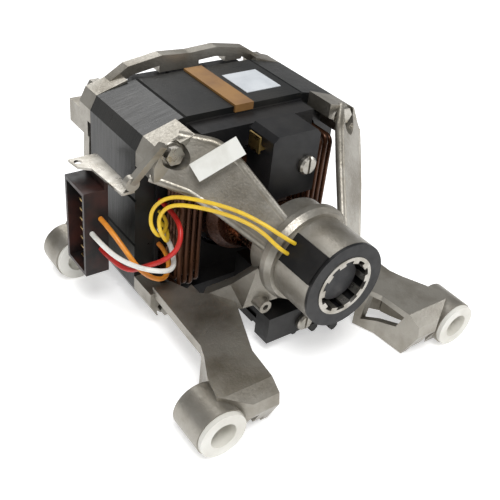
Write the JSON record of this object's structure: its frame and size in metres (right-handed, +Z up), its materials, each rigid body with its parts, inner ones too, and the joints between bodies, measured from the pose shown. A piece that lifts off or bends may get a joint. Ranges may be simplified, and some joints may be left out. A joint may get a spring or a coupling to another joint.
{
  "type": "washing machine motor",
  "caption": "Open-frame brushed motor with two cast shields, a lamination stack, belt pulley, speed sensor and side connector.",
  "frame": {"origin": "on the shaft's axis at the middle plane of the belt pulley", "axes": "+Y along the shaft out of the pulley end, +Z up, +X to the right seen from the sensor end"},
  "size_m": [0.1636, 0.1993, 0.1098],
  "materials": {
    "cast_aluminium": "as cast, lightly blasted",
    "core_black": "black lacquer over laminations",
    "strip_brown": "matt insulating strip",
    "label_white": "bare satin film",
    "insulation_green": "moulded, matt",
    "enamel_copper": "enamelled copper wire",
    "zinc_steel": "zinc plated",
    "bush_white": "moulded, satin",
    "bearing_steel": "ground",
    "shaft_steel": "ground",
    "armature_steel": "turned laminations",
    "winding_resin": "copper wire under resin",
    "commutator_copper": "turned copper",
    "moulding_brown": "moulded resin",
    "fan_black": "moulded, matt",
    "magnet_dark": "ferrite, matt",
    "black_plastic": "moulded, satin",
    "brass": "stamped",
    "carbon": "pressed carbon",
    "connector_plastic": "moulded, satin",
    "protector_white": "glass sleeve, matt",
    "lead_yellow": "insulated lead",
    "lead_orange": "insulated lead",
    "lead_red": "insulated lead",
    "lead_white": "insulated lead"
  },
  "bodies": {
    "stator": {"stator_core": "core_black", "core_strip": "strip_brown", "nameplate": "label_white", "coil_insulator_front": "insulation_green", "coil_insulator_rear": "insulation_green", "field_coil_right": "enamel_copper", "field_coil_left": "enamel_copper", "front_shield": "cast_aluminium", "rear_shield": "cast_aluminium", "through_bolts": "zinc_steel", "bolt_nuts": "zinc_steel", "bush_front_left": "bush_white", "bush_front_right": "bush_white", "bush_rear_left": "bush_white", "bush_rear_right": "bush_white", "wave_washer": "zinc_steel", "tacho_cup": "black_plastic", "tacho_claw_ring": "zinc_steel", "tacho_coil": "black_plastic", "brush_tab": "brass", "brush_holder_top": "black_plastic", "brush_holder_bottom": "black_plastic", "holder_screw_top": "zinc_steel", "holder_screw_bottom": "zinc_steel", "connector_housing": "connector_plastic", "connector_contacts": "brass", "connector_bracket": "zinc_steel", "thermal_protector": "protector_white", "sensor_lead_upper": "lead_yellow", "sensor_lead_lower": "lead_yellow", "lead_orange": "lead_orange", "lead_red": "lead_red", "lead_white": "lead_white", "front_bearing_outer": "bearing_steel", "rear_bearing_outer": "bearing_steel", "brush_guide_top": "brass", "brush_spring_top": "zinc_steel", "brush_guide_bottom": "brass", "brush_spring_bottom": "zinc_steel"},
    "rotor": {"shaft": "shaft_steel", "armature_core": "armature_steel", "end_disc_front": "insulation_green", "end_disc_rear": "insulation_green", "armature_winding": "winding_resin", "commutator_hub": "moulding_brown", "commutator_bars": "commutator_copper", "pulley": "shaft_steel", "fan": "fan_black", "tacho_magnet": "magnet_dark", "front_bearing_inner": "bearing_steel", "rear_bearing_inner": "bearing_steel"},
    "front_ball_set": {"front_bearing_cage": "bearing_steel", "front_bearing_balls": "bearing_steel"},
    "rear_ball_set": {"rear_bearing_cage": "bearing_steel", "rear_bearing_balls": "bearing_steel"},
    "brush_top": {"brush_top": "carbon"},
    "brush_bottom": {"brush_bottom": "carbon"}
  },
  "joints": [
    {"name": "rotor_spin", "type": "hinge", "parent": "stator", "child": "rotor", "pos_m": [0, 0, 0], "axis": [0, 1, 0], "continuous": true},
    {"name": "front_balls_spin", "type": "hinge", "parent": "stator", "child": "front_ball_set", "pos_m": [0, 0, 0], "axis": [0, 1, 0], "continuous": true},
    {"name": "rear_balls_spin", "type": "hinge", "parent": "stator", "child": "rear_ball_set", "pos_m": [0, 0, 0], "axis": [0, 1, 0], "continuous": true},
    {"name": "brush_top_slide", "type": "slide", "parent": "stator", "child": "brush_top", "axis": [0, 0, 1], "range_m": [0, 0.006], "stiffness_N_per_m": 150, "springref_m": -0.02, "deforming": ["brush_spring_top"]},
    {"name": "brush_bottom_slide", "type": "slide", "parent": "stator", "child": "brush_bottom", "axis": [0, 0, -1], "range_m": [0, 0.006], "stiffness_N_per_m": 150, "springref_m": -0.02, "deforming": ["brush_spring_bottom"]}
  ],
  "couplings": [
    {"joint": "front_balls_spin", "follows": "rotor_spin", "ratio": 0.384},
    {"joint": "rear_balls_spin", "follows": "rotor_spin", "ratio": 0.384}
  ]
}
